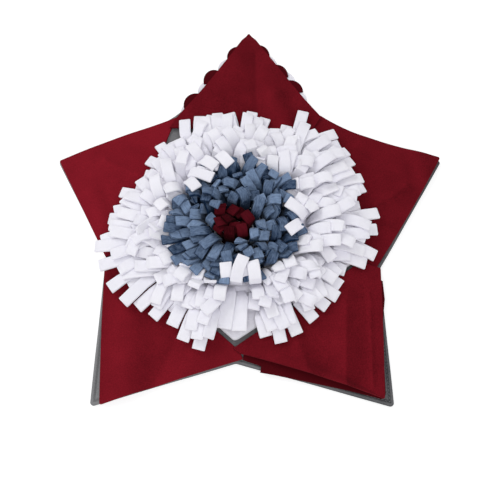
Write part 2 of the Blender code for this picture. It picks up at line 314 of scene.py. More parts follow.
# %% Outlines
STAR = np.array([
    (-2, 207), (-79.5, 96.5), (-201.4, 43.8), (-143, -62), (-146, -206.9),
    (-13, -167.4), (131.4, -207.6), (127.8, -75), (201.5, 44.3), (75.5, 92),
])
TIP_ROUND, NOTCH_ROUND, UPPER_NOTCH_ROUND = 3.0, 6.0, 90.0
STAR_ROUNDS = np.array([TIP_ROUND, -NOTCH_ROUND] * 5)
STAR_ROUNDS[[1, 9]] = -UPPER_NOTCH_ROUND
STAR_CENTRE = np.array([-3.3, -23.7])
LEAST_ROUND = 0.35
ARC_POINTS, EDGE_POINTS = 7, 22


def outline(corners, rounds, inset):
    """The closed outline of a polygon, drawn inset inside it, with rounded corners.

    Each corner moves in by inset (n1 + n2) / (1 + n1.n2), where n1 and n2 are the inward normals
    of its two sides. A corner that points out is rounded by its radius less the inset. One that
    points in, marked by a negative radius, is rounded by its radius plus the inset.
    """
    ahead = unit(np.roll(corners, -1, 0) - corners)
    inward = np.stack([-ahead[:, 1], ahead[:, 0]], -1)
    before = np.roll(inward, 1, 0)
    shift = (inward + before) / (1 + (inward * before).sum(1, keepdims=True))
    moved = corners + inset * shift
    radius = np.maximum(np.abs(rounds) - np.sign(rounds) * inset, LEAST_ROUND)
    back = unit(np.roll(moved, 1, 0) - moved)
    ahead = unit(np.roll(moved, -1, 0) - moved)
    half = np.arccos(np.clip((back * ahead).sum(1), -1, 1)) / 2
    centre = moved + unit(back + ahead) * (radius / np.sin(half))[:, None]
    reach = (radius / np.tan(half))[:, None]
    start, end = moved + back * reach - centre, moved + ahead * reach - centre
    turn = np.arctan2(start[:, 0] * end[:, 1] - start[:, 1] * end[:, 0], (start * end).sum(1))
    angle = turn[:, None] * np.linspace(0, 1, ARC_POINTS)
    cos, sin, x, y = np.cos(angle), np.sin(angle), start[:, :1], start[:, 1:]
    arcs = centre[:, None] + np.stack([x * cos - y * sin, x * sin + y * cos], -1)
    share = (np.arange(EDGE_POINTS) + 1)[:, None] / (EDGE_POINTS + 1)
    leave, arrive = arcs[:, -1:], np.roll(arcs[:, :1], -1, 0)
    edges = leave + (arrive - leave) * share
    return np.concatenate([arcs, edges], 1).reshape(-1, 2)

# %% Lofted cloth
SHRINK = np.array([0.01, 0.2, 0.4, 0.6, 0.8, 0.93])


def at_height(places, height):
    """Flat places lifted to a height."""
    return np.column_stack([places, np.full(len(places), height)])


def edge_waver(count, seed, size):
    """Small uneven steps in and out along a hand-cut edge: five slow sines round the loop."""
    way = np.linspace(0, 2 * math.pi, count, endpoint=False)
    draw = np.random.default_rng(seed)
    times, phases = draw.integers(5, 24, 5), draw.uniform(0, 2 * math.pi, 5)
    return size * np.sin(way[:, None] * times + phases).sum(1) / 5


def lofted_cloth(corners, rounds, profile, waver):
    """Rings of a flat cloth shape: its outline at each inset and height of the profile, from the
    middle of the underside round the edge to the middle of the top."""
    loops = [(outline(corners, rounds, inset), height) for inset, height in profile]
    rings = [at_height(loop + unit(loop - STAR_CENTRE) * waver[:, None], z) for loop, z in loops]

    def shrunk(ring):
        middle = np.array([*STAR_CENTRE, ring[0, 2]])
        return middle + (ring - middle) * SHRINK[:, None, None]

    return np.concatenate([shrunk(rings[0]), rings, shrunk(rings[-1])[::-1]])

# %% The star
HEM_PROFILE = [
    (9, 0), (1.6, 0), (0.6, 0.5), (0.1, 1.4), (0, 2.5), (0.1, 3.5), (0.6, 4.4), (1.5, 4.95),
    (2.4, 4.9), (3.2, 4.45), (3.9, 4.05), (4.6, 4.45), (5.6, 4.85), (7.2, 4.9), (9, 4.9),
]
# Painted light and shade on the hem: the roll's sides and the stitch groove are painted darker, as shade,
# and the top of the roll lighter, as a highlight.
HEM_LIGHT_AND_SHADE = [0, 0, -0.2, -0.4, -0.4, -0.2, 0.2, 0.5, 0.4, -0.3, -0.7, -0.3, 0.3, 0.4, 0.2]
# The grey is painted lighter towards the left, as light from the lamp at the upper left.
GREY_TONE, LIGHT_FROM_LEFT = 0.45, 0.0055
star_waver = edge_waver(10 * (ARC_POINTS + EDGE_POINTS), 3, 0.45)
star_rings = lofted_cloth(STAR, STAR_ROUNDS, HEM_PROFILE, star_waver)
hem_light_and_shade = np.pad(HEM_LIGHT_AND_SHADE, len(SHRINK), mode="edge")[:, None]
tones = (GREY_TONE + hem_light_and_shade - LIGHT_FROM_LEFT * star_rings[..., 0]).ravel()
base = put_mesh("base", star_rings, loft_faces(star_rings), GREY_FELT, ["base_star"], tones)

# %% [markdown]
# ## Stitches round the base
#
# A sewing machine leaves a row of even threads, each dipping into the cloth at both ends. Each is
# a tiny loft, a little fatter in its middle, and all of them are one mesh. They lie in the groove
# that the hem's profile has at 3.9 mm. Dashes in the material would have no height.

# %% Stitches
STITCH_INSET, STITCH_HEIGHT, THREAD_ARCH = 3.9, 4.2, 0.25
STITCH_PITCH, STITCH_LENGTH, THREAD, STITCH_AROUND = 3.4, 2.5, 0.55, 6


def spaced_along(loop, pitch):
    """Places along a closed loop, about one pitch apart, with the direction at each."""
    closed = np.concatenate([loop, loop[:1]])
    travelled = np.concatenate([[0], np.cumsum(np.linalg.norm(np.diff(closed, axis=0), axis=1))])
    wanted = np.linspace(0, travelled[-1], round(travelled[-1] / pitch), endpoint=False)

    def at(way):
        way = way % travelled[-1]
        return np.stack([np.interp(way, travelled, closed[:, axis]) for axis in (0, 1)], -1)

    return at(wanted), unit(at(wanted + pitch / 4) - at(wanted - pitch / 4))


def stitches(loop):
    """Threads along a loop. At share t of its length a thread is (0.45 + 0.55 sin(pi t)) thick
    and has risen by arch sin(pi t)."""
    place, way = spaced_along(loop, STITCH_PITCH)
    share = np.array([0.0, 0.2, 0.5, 0.8, 1.0])
    bulge = np.sin(math.pi * share)
    side = np.stack([-way[:, 1], way[:, 0]], -1)
    angle = np.linspace(0, 2 * math.pi, STITCH_AROUND, endpoint=False)
    radius = THREAD / 2 * (0.45 + 0.55 * bulge)
    flat = (
        place[:, None, None]
        + way[:, None, None] * ((share - 0.5) * STITCH_LENGTH)[:, None, None]
        + side[:, None, None] * (radius[:, None] * np.cos(angle))[..., None]
    )
    lift = STITCH_HEIGHT + THREAD_ARCH * bulge[:, None] + radius[:, None] * np.sin(angle)
    lift = np.broadcast_to(lift[None, ..., None], (*flat.shape[:3], 1))
    return np.concatenate([flat, lift], -1)


stitch_loop = outline(STAR, STAR_ROUNDS, STITCH_INSET)
stitch_loop = stitch_loop + unit(stitch_loop - STAR_CENTRE) * star_waver[:, None]
threads = stitches(stitch_loop)
hem_stitches = put_mesh("hem_stitches", threads, loft_faces(threads), GREY_FELT, [], 1.0)
print("stitches:", len(threads))

# %% [markdown]
# ## The pad under the strips
#
# A five-sided piece of white fleece carries the strips. Most of it is hidden, but its lowest
# corner is bare and reaches a little further than the others. So the pad is made as carefully as
# the rest, with the same loft and a softer edge.

# %% The pad
ON_BASE, PAD_TOP = 5.3, 9.3
PAD_SHARE, PAD_ROUND, PAD_TONE = 0.835, 5.0, 0.6
LOWEST, LOWEST_FURTHER = 2, (-2.5, -4.0)
PAD_CORNERS = STAR_CENTRE + (STAR[1::2] - STAR_CENTRE) * PAD_SHARE
PAD_CORNERS[LOWEST] += LOWEST_FURTHER
PAD_ROUNDS = np.full(5, PAD_ROUND)
PAD_PROFILE = [
    (5, ON_BASE), (1.4, ON_BASE), (0.5, 5.7), (0, 6.6), (0, 7.5), (0.4, 8.4), (1.2, 9),
    (2.6, PAD_TOP), (5, PAD_TOP),
]
pad_waver = edge_waver(5 * (ARC_POINTS + EDGE_POINTS), 5, 0.4)
pad_rings = lofted_cloth(PAD_CORNERS, PAD_ROUNDS, PAD_PROFILE, pad_waver)
pad = put_mesh("pad", pad_rings, loft_faces(pad_rings), WHITE, ["fringe_pad"], PAD_TONE)

# %% [markdown]
# ## Flaps
#
# Each flap is one piece of felt, raw at its edges, laid over a point of the star. Its surface is
# a grid that runs along, from the edge beside the pad to the tip, and across, from left to right.
# The edges bow a little, and creases and slow waves keep it from looking like sheet metal. The
# grid gets a thickness with a rounded rim.

# %% Cloth sheets from a grid
RIM_BULGE = 0.18


def rim_of(grid):
    """What lies on the rim of a grid, as one loop."""
    return np.concatenate([grid[0, :-1], grid[:-1, -1], grid[-1, :0:-1], grid[:0:-1, 0]])


def sheet_mesh(top, thickness):
    """Points and faces of a closed sheet whose upper face is a grid of points. Half-way down, its
    rim is pushed out by 0.18 of the thickness, so that a cut edge looks soft."""
    rows, columns = top.shape[:2]
    below = top - np.array([0, 0, thickness])
    count = rows * columns
    number = np.arange(count).reshape(rows, columns)
    rim = rim_of(number)
    points = np.concatenate([top.reshape(-1, 3), below.reshape(-1, 3)])
    loop = points[rim]
    way = np.roll(loop, -1, 0) - np.roll(loop, 1, 0)
    outward = unit(np.stack([way[:, 1], -way[:, 0], np.zeros(len(way))], -1))
    middle = (loop + points[rim + count]) / 2 + outward * RIM_BULGE * thickness
    points = np.concatenate([points, middle])
    corners = [number[:-1, :-1], number[:-1, 1:], number[1:, 1:], number[1:, :-1]]
    upper = np.stack(corners, -1).reshape(-1, 4)
    lower = upper[:, ::-1] + count
    ring = 2 * count + np.arange(len(rim))
    next_ring, next_rim = np.roll(ring, -1), np.roll(rim, -1)
    side = np.stack([rim, ring, next_ring, next_rim], -1)
    foot = np.stack([ring, rim + count, next_rim + count, next_ring], -1)
    return points, np.concatenate([upper, lower, side, foot]).tolist()

# %% Flap shapes
# A flap has a tip, and its right and its left edge each have a place at the notch, an inner end,
# a bow and a flare beside the notch. Mouth is how far the right edge stands open, and tone how
# light the flap is. A crease goes from x, y to x, y, with a width and a lift, and is sharp (1) or
# soft (0).
FELT = 2.2
ON_A_FLAP, ON_PETALS = 7.8, 8.9
# How much lighter the felt is painted where a fold faces the lamp, and darker where it faces away: painted
# light and shade.
FOLD_LIGHT = 1.8
Flap = namedtuple("Flap", "tip right left mouth tone creases")
FLAPS = {
    "flap_top": Flap(
        (-1.4, 205.2), ((74.2, 93), (63.5, 76.5), 0, 2), ((-78, 92.5), (-84.5, 81), -1.5, 1),
        0, 0.05, [(7, 95, 6, 175, 24, -1.7, 1), (28, 118, 40, 82, 15, 1.4, 0)],
    ),
    "flap_left": Flap(
        (-198.5, 42.8), ((-77.5, 93.5), (-83.5, 80), 2.6, 2.5), ((-142, -63.5), (-119.5, -49.5), 0, 0),
        0, 1, [(-150, 42, -100, 20, 13, 1.3, 1), (-160, 5, -140, -40, 14, 1, 0)],
    ),
    "flap_lower_left": Flap(
        (-135.8, -204.3), ((-142.5, -66.5), (-118, -62), 0.8, 0), ((-6.9, -163.8), (-10.5, -156), -0.5, 0),
        0, 0.55, [(-114, -95, -112, -200, 25, 2.3, 0), (-70, -146, -87, -186, 26, -1.9, 1)],
    ),
    "flap_lower_right": Flap(
        (121.3, -199.4), ((-9.5, -159), (-15.5, -154.5), -1.2, 0), ((127.2, -76), (108.5, -69.5), 0.5, 0), 6,
        0.15, [
            (43, -140, 57, -186, 18, 1.5, 1), (92, -108, 87, -190, 18, 1.9, 1),
            (115, -100, 112, -190, 5, 0.5, 1),
        ],
    ),
    "flap_right": Flap(
        (198.3, 46.5), ((122.5, -76), (112, -66), 1.5, 0), ((74, 93), (63.5, 78.5), -3.2, 5),
        0, 0.10, [(176, 66, 186, 16, 18, 1.6, 0), (160, 12, 118, -16, 11, 1.2, 1)],
    ),
}
TIP_WIDTH, FLARE_SHARE = 1.5, 0.35
WAVE_HEIGHT, WAVE_LENGTH, FIRST_WAVE = 0.35, 46.0, 20
CLIMB, DESCENT = (84.0, 99.0), (193.0, 203.0)
FLAP_POINTS, MAP_POINTS = (56, 44), (160, 160)

# %% Flap surfaces
def crease_lift(x, y, creases):
    """Each crease lifts the felt at distance d from it: a soft one by
    lift (1 + cos(pi d / width)) / 2, and a sharp one by lift (1 - sin(pi d / (2 width)))."""
    total = np.zeros_like(x)
    for start_x, start_y, end_x, end_y, width, lift, sharp in creases:
        way_x, way_y = end_x - start_x, end_y - start_y
        share = ((x - start_x) * way_x + (y - start_y) * way_y) / (way_x**2 + way_y**2)
        share = np.clip(share, 0, 1)
        distance = np.hypot(x - start_x - way_x * share, y - start_y - way_y * share)
        turn = math.pi * np.minimum(distance / width, 1)
        total += lift * (1 - np.sin(turn / 2) if sharp else 0.5 + 0.5 * np.cos(turn))
    return total


def resting_height(name, y):
    """Height of a flap's underside before its creases. The top one climbs over the petals."""
    if name == "flap_top":
        crest = ON_A_FLAP + (ON_PETALS - ON_A_FLAP) * smooth_step(*CLIMB, y)
        return crest + (ON_BASE - crest) * smooth_step(*DESCENT, y)
    return np.full_like(y, ON_A_FLAP if name == "flap_lower_right" else ON_BASE)


def flap_edge(edge, tip, sign, along):
    """One long edge: straight from the inner end to the notch, then to the tip, pushed aside by
    bow sin(pi t), and by flare (1 - t / 0.35)^2 beside the notch."""
    notch, inner, bow, flare = edge
    way = unit(tip - notch)
    side = np.array([way[1], -way[0]])
    t = np.clip(along, 0, 1)[:, None]
    aside = bow * np.sin(math.pi * t) + flare * np.maximum(1 - t / FLARE_SHARE, 0) ** 2
    outer = notch + (tip - notch) * t + side * sign * aside
    return outer + (np.array(inner) - notch) * np.clip(-along, 0, 1)[:, None]


def felt_lift(x, y, flap, seed):
    """The creases and the slow waves together."""
    return crease_lift(x, y, flap.creases) + WAVE_HEIGHT * (1 + slow_wave(x, y, seed, WAVE_LENGTH))


def painted_fold_light(points, flap, seed):
    """Painted light on the folds: the felt is painted lighter where it rises to the right, facing the
    lamp at the upper left, and darker where it falls: tone + fold light dh/dx.
    """
    x, y = points[:, 0], points[:, 1]
    return flap.tone + FOLD_LIGHT * (felt_lift(x + 0.5, y, flap, seed) - felt_lift(x - 0.5, y, flap, seed))


def flap_surface(name, flap, rows, columns, seed):
    """Grid of points on a flap's upper face. At a pocket's mouth, the right edge stands open by
    mouth sin(pi t)."""
    half_tip = unit(np.array(flap.right[0]) - flap.left[0]) * TIP_WIDTH / 2
    along = np.concatenate([np.linspace(-1, 0, 7)[:-1], np.linspace(0, 1, rows)])
    left = flap_edge(flap.left, flap.tip - half_tip, -1, along)
    right = flap_edge(flap.right, flap.tip + half_tip, 1, along)
    across = np.linspace(0, 1, columns)[None, :, None]
    flat = left[:, None] * (1 - across) + right[:, None] * across
    x, y = flat[..., 0], flat[..., 1]
    arch = np.sin(math.pi * np.clip(along, 0, 1)) ** 0.6
    open_mouth = flap.mouth * arch[:, None] * smooth_step(0.78, 1.0, across[..., 0])
    height = resting_height(name, y) + FELT + felt_lift(x, y, flap, seed) + open_mouth
    return np.stack([x, y, height], -1)

# %% The flaps
flaps, flap_rims, flap_tops = {}, {}, []
for seed, (name, flap) in enumerate(FLAPS.items(), FIRST_WAVE):
    grid = flap_surface(name, flap, *FLAP_POINTS, seed)
    points, faces = sheet_mesh(grid, FELT)
    tones = painted_fold_light(points, flap, seed)
    flaps[name] = put_mesh(name.replace("flap", "felt_flap"), points, faces, RED_FELT, [name], tones)
    flap_rims[name] = rim_of(grid)[:, :2]
    flap_tops.append(flap_surface(name, flap, *MAP_POINTS, seed))

# %% [markdown]
# ## The second layer under the lower-right flap
#
# That flap is a pocket: another layer lies under it, a little out of line, so that its edge shows
# below it. It is painted darker, as the shade under the flap. It is flat, and a loft of its outline
# is enough.

# %% The pocket layer
# The pocket layer is painted darker, as the shade under the flap.
POCKET_SHADE_TONE = -0.9
POCKET = np.array([
    (-5.5, -156.5), (-6.5, -164.7), (10.4, -170.6), (9.4, -176.3), (23.1, -178.7), (90, -192.6),
    (119.8, -200.2), (123.6, -196), (125, -136), (129.6, -107), (129, -88.5), (112, -78),
])
heights = ON_BASE, ON_BASE + FELT / 2, ON_BASE + FELT
pocket_rings = np.array([at_height(POCKET, height) for height in heights])
pocket = put_mesh(
    "felt_pocket_layer", pocket_rings, loft_faces(pocket_rings), RED_FELT,
    ["under_flap_lower_right"], POCKET_SHADE_TONE,
)

# %% [markdown]
# ## Petal rows under the top flap
#
# Each row is one strip of cloth, cut into round petals along its upper edge. White and dark-red
# rows take turns, and the dark-red ones lie on the white ones. The outermost petals curl up a
# little where no flap holds them down.

# %% Petals
PETAL_CLOTH, PETAL_REACH, PETAL_BAND, PETAL_CURL = 1.5, 17.0, 2.5, 0.9
PETAL_LEVELS = {WHITE: ON_BASE, RED_FELT: 7.1}
# The petals are painted darker, as the shade of the top flap over them, the dark-red ones most.
PETAL_SHADE_TONES = {WHITE: -0.4, RED_FELT: -1.3}
PETAL_COLUMNS, PETAL_ROWS_OF_POINTS = 14, 6
PetalRow = namedtuple("PetalRow", "left right petals cloth")
PETAL_ROWS = {
    "petal_row_1": PetalRow((-74, 97), (62.2, 115.5), 6, WHITE),
    "petal_row_2": PetalRow((-71, 106.2), (58, 127.4), 5, RED_FELT),
    "petal_row_3": PetalRow((-56.2, 122.9), (50.3, 139.1), 5, WHITE),
    "petal_row_4": PetalRow((-50.6, 137.8), (42, 147), 4, RED_FELT),
    "petal_row_5": PetalRow((-34.9, 152.9), (30.6, 160.2), 3, WHITE),
    "petal_row_6": PetalRow((-25.1, 168.9), (21.9, 173.6), 2, RED_FELT),
}


def petal_surface(row):
    """Across share u, the petals reach band + (reach - band) sqrt(1 - (2 f - 1)^2) above the
    lower edge, where f is the share of the way across one petal."""
    left, right = np.array(row.left), np.array(row.right)
    up = unit(np.array([left[1] - right[1], right[0] - left[0]]))
    turn = np.linspace(math.pi, 0, PETAL_COLUMNS + 1)
    within = (0.5 + 0.5 * np.cos(turn))[:-1]
    share = np.concatenate([(petal + within) / row.petals for petal in range(row.petals)] + [[1.0]])
    arch = np.concatenate([np.tile(np.sin(turn)[:-1], row.petals), [0.0]])
    reach = PETAL_BAND + (PETAL_REACH - PETAL_BAND) * arch
    rise = np.linspace(0, 1, PETAL_ROWS_OF_POINTS)[:, None]
    flat = left + (right - left) * share[None, :, None] + up * (reach * rise)[..., None]
    curl = PETAL_CURL * np.abs(2 * share - 1) ** 8 * rise**2
    return np.concatenate([flat, (PETAL_LEVELS[row.cloth] + PETAL_CLOTH + curl)[..., None]], -1)


for name, row in PETAL_ROWS.items():
    points, faces = sheet_mesh(petal_surface(row), PETAL_CLOTH)
    tone = PETAL_SHADE_TONES[row.cloth]
    put_mesh(name.replace("row", "strip"), points, faces, row.cloth, [name], tone)

# %% [markdown]
# ## The fringe: rows of cut fleece strips
#
# Rows of strips are sewn to the pad in rings, white outside, then blue, with a dark-red tuft in
# the middle. Real strips crowd each other: each bends over, lies on its neighbours and turns a
# little, and none passes through another.
#
# Strips placed at random would cut through each other. So they start as a neat fan, in which no
# two can touch, and are then stirred by a small cloth simulation: each is drawn gently towards a
# lean and a turn of its own while the cloth keeps its size, the strips push each other apart, and
# whatever lies below holds them up. Blender has a cloth solver too, but it has to be played frame
# by frame, and this one is a few lines of whole arrays.

# %% Height of what the strips lie on
CELL, MAP_HALF, BASE_TOP, PAD_SLOPE = 2.0, 220.0, 4.9, 4.0
cells = int(2 * MAP_HALF / CELL) + 1
felt_map = np.full((cells, cells), BASE_TOP)
for top in flap_tops:
    i, j = ((top[..., :2].reshape(-1, 2) + MAP_HALF) / CELL).astype(int).T
    np.maximum.at(felt_map, (i, j), top[..., 2].ravel())


def height_below(x, y):
    """The higher of the felt there and the pad, whose height falls off over 4 mm past its edge."""
    i = np.clip(((x + MAP_HALF) / CELL).astype(int), 0, cells - 1)
    j = np.clip(((y + MAP_HALF) / CELL).astype(int), 0, cells - 1)
    ahead = unit(np.roll(PAD_CORNERS, -1, 0) - PAD_CORNERS)
    past = np.full(x.shape, -np.inf)
    for corner, way in zip(PAD_CORNERS, ahead):
        past = np.maximum(past, (x - corner[0]) * way[1] - (y - corner[1]) * way[0])
    on_pad = PAD_TOP - (PAD_TOP - ON_BASE) * smooth_step(0.0, PAD_SLOPE, past)
    return np.maximum(felt_map[i, j], on_pad)


print("highest place on the flaps, mm:", round(felt_map.max(), 1))

# %% Rows of strips
# Millimetres and degrees. A strip's stem leans out from the middle by fan_lean in the neat fan
# and by stem in the pile. About a share bend of the way up, it bends over to lean, give or take
# spread, in a fold that is twice the share fold long. By there it has swung up to turn to either
# side. Inward is the share of strips whose ends bend back towards the middle.
StripRow = namedtuple(
    "StripRow", "radius strips width length fan_lean stem bend fold lean spread turn inward cloth"
)
STRIP_ROWS = {
    "white_row_1": StripRow(95, 50, 12, 40, 104, 100, 0.62, 0.18, 100, 3, 16, 0.00, WHITE),
    "white_row_2": StripRow(85.5, 62, 11.8, 50, 88, 80, 0.68, 0.14, 98, 6, 42, 0.00, WHITE),
    "white_row_3": StripRow(76, 60, 11.6, 50, 74, 60, 0.69, 0.12, 97, 8, 60, 0.00, WHITE),
    "white_row_4": StripRow(66.5, 56, 11.6, 48, 62, 43, 0.69, 0.11, 96, 10, 70, 0.00, WHITE),
    "white_row_5": StripRow(57.5, 48, 11.6, 45, 51, 28, 0.70, 0.10, 96, 12, 75, 0.00, WHITE),
    "blue_row_1": StripRow(48, 40, 10, 39, 42, 29, 0.70, 0.08, 95, 15, 85, 0.35, BLUE),
    "blue_row_2": StripRow(39.5, 33, 10, 39, 33, 20, 0.71, 0.08, 93, 16, 95, 0.40, BLUE),
    "blue_row_3": StripRow(31.2, 26, 10, 39, 25, 14, 0.71, 0.08, 93, 18, 100, 0.40, BLUE),
    "blue_row_4": StripRow(23, 18, 10, 38, 17, 11, 0.71, 0.08, 93, 18, 100, 0.30, BLUE),
    "red_row_1": StripRow(14.8, 7, 10.6, 33, 10, 6, 0.70, 0.10, 92, 20, 85, 0.40, RED),
    "red_row_2": StripRow(6.6, 4, 10.5, 32, 4, 0, 0.70, 0.10, 90, 20, 90, 0.50, RED),
}
RIM_CENTRE, MOUND_CENTRE = np.array([-9.0, -27.0]), np.array([-17.5, -37.5])
CORNER_BULGE, CORNER_TURN = 0.036, math.radians(51.6)
# How far the outermost tips reach from the rim's centre, by bearing in degrees.
RIM_REACH = np.array([
    (-177, 134), (-170, 146), (-164, 152), (-157, 150), (-151, 149), (-143, 145), (-136, 136),
    (-129, 133), (-122, 128), (-117, 131), (-112, 140), (-105, 139), (-99, 124), (-88, 119), (-80, 121),
    (-73, 131), (-65, 129), (-58, 125), (-50, 125), (-38, 124), (-30, 113), (-25, 118), (-20, 136),
    (-14, 141), (-8, 140), (-4, 133), (0, 142), (5, 119), (10, 132), (22, 136), (30, 133), (36, 141),
    (40, 131), (45, 150), (49, 130), (54, 137), (59, 134), (66, 115), (72, 110), (78, 108), (82, 128),
    (98, 127), (110, 130), (116, 136), (120, 120), (128, 113), (132, 126), (140, 117), (147, 121),
    (155, 106), (163, 125), (173, 130), (183, 134),
], float)
# How far the outer two rows are combed aside, anticlockwise, by bearing in degrees.
COMB = np.array([
    (0, 0), (25, -10), (45, -20), (58, -12), (70, 6), (90, 4), (105, -8), (122, -22), (135, -12),
    (150, 0), (360, 0),
], float)


def ring_path(radius, bearing):
    """Places on a ring: at share = radius / 95 of the way from the mound's centre to the rim's,
    out by radius (1 + 0.036 share cos(5 (bearing - 51.6 degrees)))."""
    radius, bearing = np.broadcast_arrays(radius, bearing)
    share = radius / STRIP_ROWS["white_row_1"].radius
    centre = MOUND_CENTRE + (RIM_CENTRE - MOUND_CENTRE) * share[..., None]
    reach = radius * (1 + CORNER_BULGE * share * np.cos(5 * (bearing - CORNER_TURN)))
    return centre + np.stack([np.cos(bearing), np.sin(bearing)], -1) * reach[..., None]


def even_bearings(radius, count):
    """Bearings that cut a ring into equal lengths."""
    bearing = np.linspace(0, 2 * math.pi, 721)
    steps = np.linalg.norm(np.diff(ring_path(radius, bearing), axis=0), axis=1)
    travelled = np.concatenate([[0], np.cumsum(steps)])
    return np.interp(np.linspace(0, travelled[-1], count, endpoint=False), travelled, bearing)

# %% [markdown]
# ### What each strip does
#
# A draw gives each strip its own length, lean, turn and bend. Some sides of the pile have habits
# of their own, and a few strips, the strays, are placed one by one.

# %% Habits of the sides
# White rows 1 to 4 leave this side bare, in degrees, and strips beside it turn less.
BARE_CORNER, BESIDE_CORNER, TURN_BESIDE = (258.0, 280.0), np.array([(239.0, 299.0)]), 0.4
# On these sides, white row 5 lies over the blue strips: it stands steeper, bends over sooner and
# is longer.
FOLDED_IN = np.array([(-8, 4), (93, 150), (262, 292)])
FOLDED_STEM, FOLDED_SOONER, FOLDED_LONGER = 16.0, 0.06, 9.0
# On this side, the blue strips lie combed outwards: they turn less and bend over sooner.
COMBED, COMBED_TURN, COMBED_SOONER = np.array([(182.0, 262.0)]), 0.3, 0.17
# Every second strip of white rows 3 to 5 is this much shorter, which fills the gaps.
SECOND_SHORTER = 9.0
# How far roots stand to either side of their ring in turn, and the shortest cut of a strip as a
# share of its row's length.
ZIGZAG = {WHITE: 2.4, BLUE: 1.8, RED: 0.0}
SHORTEST = {WHITE: 0.90, BLUE: 0.82, RED: 0.90}
# Strays: the row, counted from 0, the root's bearing, the tip's place, the width and the stem's
# lean. Two lie flat on the bare corner, one of the rim points its own way, and three of the
# second row lie over gaps in the rim. A strip swings round only as it goes, so a stray turns
# 1.25 times the angle from its root's bearing to its tip.
Stray = namedtuple("Stray", "row bearing tip width stem")
STRAYS = [
    Stray(3, 264, (-24.5, -142), 14, 88), Stray(3, 272.5, (-10.5, -143), 14, 88),
    Stray(0, 58, (57.6, 98.6), 12, 96), Stray(1, 211.5, (-120.6, -95.6), 12, 88),
    Stray(1, 230.2, (-84.5, -117.7), 12, 88), Stray(1, 236, (-75.5, -124), 12, 88),
]
STRAY_LONGER, STRAY_TURN, STRAY_BEND, STRAY_LEAN, STRAY_FAN_LEAN = 3.0, 1.25, 0.5, 99.0, 100.0


def on_sides(bearing, sides):
    """Whether each bearing lies inside one of the sides, given as pairs of degrees."""
    aside = (np.degrees(bearing)[:, None] - sides.mean(1) + 180) % 360 - 180
    return (np.abs(aside) < np.ptp(sides, axis=1) / 2).any(1)

# %% Roots and lengths
LOOK_AHEAD, ROW_STEP, ROOM_SPREAD, LONGEST = 38.0, 11.5, 3.0, 1.08
draw = np.random.default_rng(8)


def roots_of_row(number, row, strays):
    """Bearings and places of a row's roots, which keep away from the bare corner and from the
    strays. The strays' own roots come last."""
    bearing = even_bearings(row.radius, row.strips)
    half = 180 / row.strips
    away_from = [BARE_CORNER] * (number < 4)
    away_from += [(stray.bearing - half, stray.bearing + half) for stray in strays]
    for low, high in np.radians(np.array(away_from).reshape(-1, 2)):
        bearing = bearing[(bearing < low) | (bearing > high)]
    bearing = np.concatenate([bearing, np.radians([stray.bearing for stray in strays])])
    step = ZIGZAG[row.cloth] * (-1.0) ** np.arange(len(bearing))
    return bearing, ring_path(row.radius + step, bearing)


def rim_reach(places):
    """How far the rim is from its centre, in the direction of each place."""
    out = np.degrees(np.arctan2(*(places - RIM_CENTRE).T[::-1]))
    return np.interp(out, *RIM_REACH.T)


def lengths_of_row(number, row, bearing, root):
    """Lengths of a row's strips, and how far they are combed aside. A strip's room is
    (reach of the rim - distance of its root) / cos(comb) - 11.5 mm for each row outside it, give
    or take a draw. The first row fills it, and the next two end 4 mm short to 5 mm past it."""
    count = len(bearing)
    shorter = SECOND_SHORTER * (np.arange(count) % 2) * (1 < number < 5)
    length = row.length * draw.uniform(SHORTEST[row.cloth], LONGEST, count) - shorter
    comb = np.radians(np.interp(np.degrees(bearing), *COMB.T)) * (number < 2)
    heads_for = root + LOOK_AHEAD * np.stack([np.cos(bearing + comb), np.sin(bearing + comb)], -1)
    room = (rim_reach(heads_for) - np.linalg.norm(root - RIM_CENTRE, axis=1)) / np.cos(comb)
    room = room - ROW_STEP * number + draw.uniform(0.0, ROOM_SPREAD, count) - shorter
    if number == 0:
        length = room
    elif number < 3:
        length = np.clip(length, room - 4.0, np.maximum(room, 20.0) + 5.0)
    return length, comb

# %% The strips, each with its own draw
Strips = namedtuple("Strips", "row root bearing length width fan_lean stem lean turn twist bend_at fold")
TWIST_SHARE, BEND_SPREAD = 0.35, 0.11


def aim_strays(made, strays):
    """Lays a row's last strips nearly flat, each with its tip at a stray's place."""
    for one, stray in enumerate(strays, len(made.row) - len(strays)):
        way = np.array(stray.tip) - made.root[one]
        turn = math.remainder(math.atan2(way[1], way[0]) - made.bearing[one], 2 * math.pi)
        made.length[one], made.width[one] = np.hypot(*way) + STRAY_LONGER, stray.width
        made.fan_lean[one], made.stem[one], made.lean[one] = STRAY_FAN_LEAN, stray.stem, STRAY_LEAN
        made.turn[one], made.twist[one], made.bend_at[one] = turn * STRAY_TURN, 0.0, STRAY_BEND


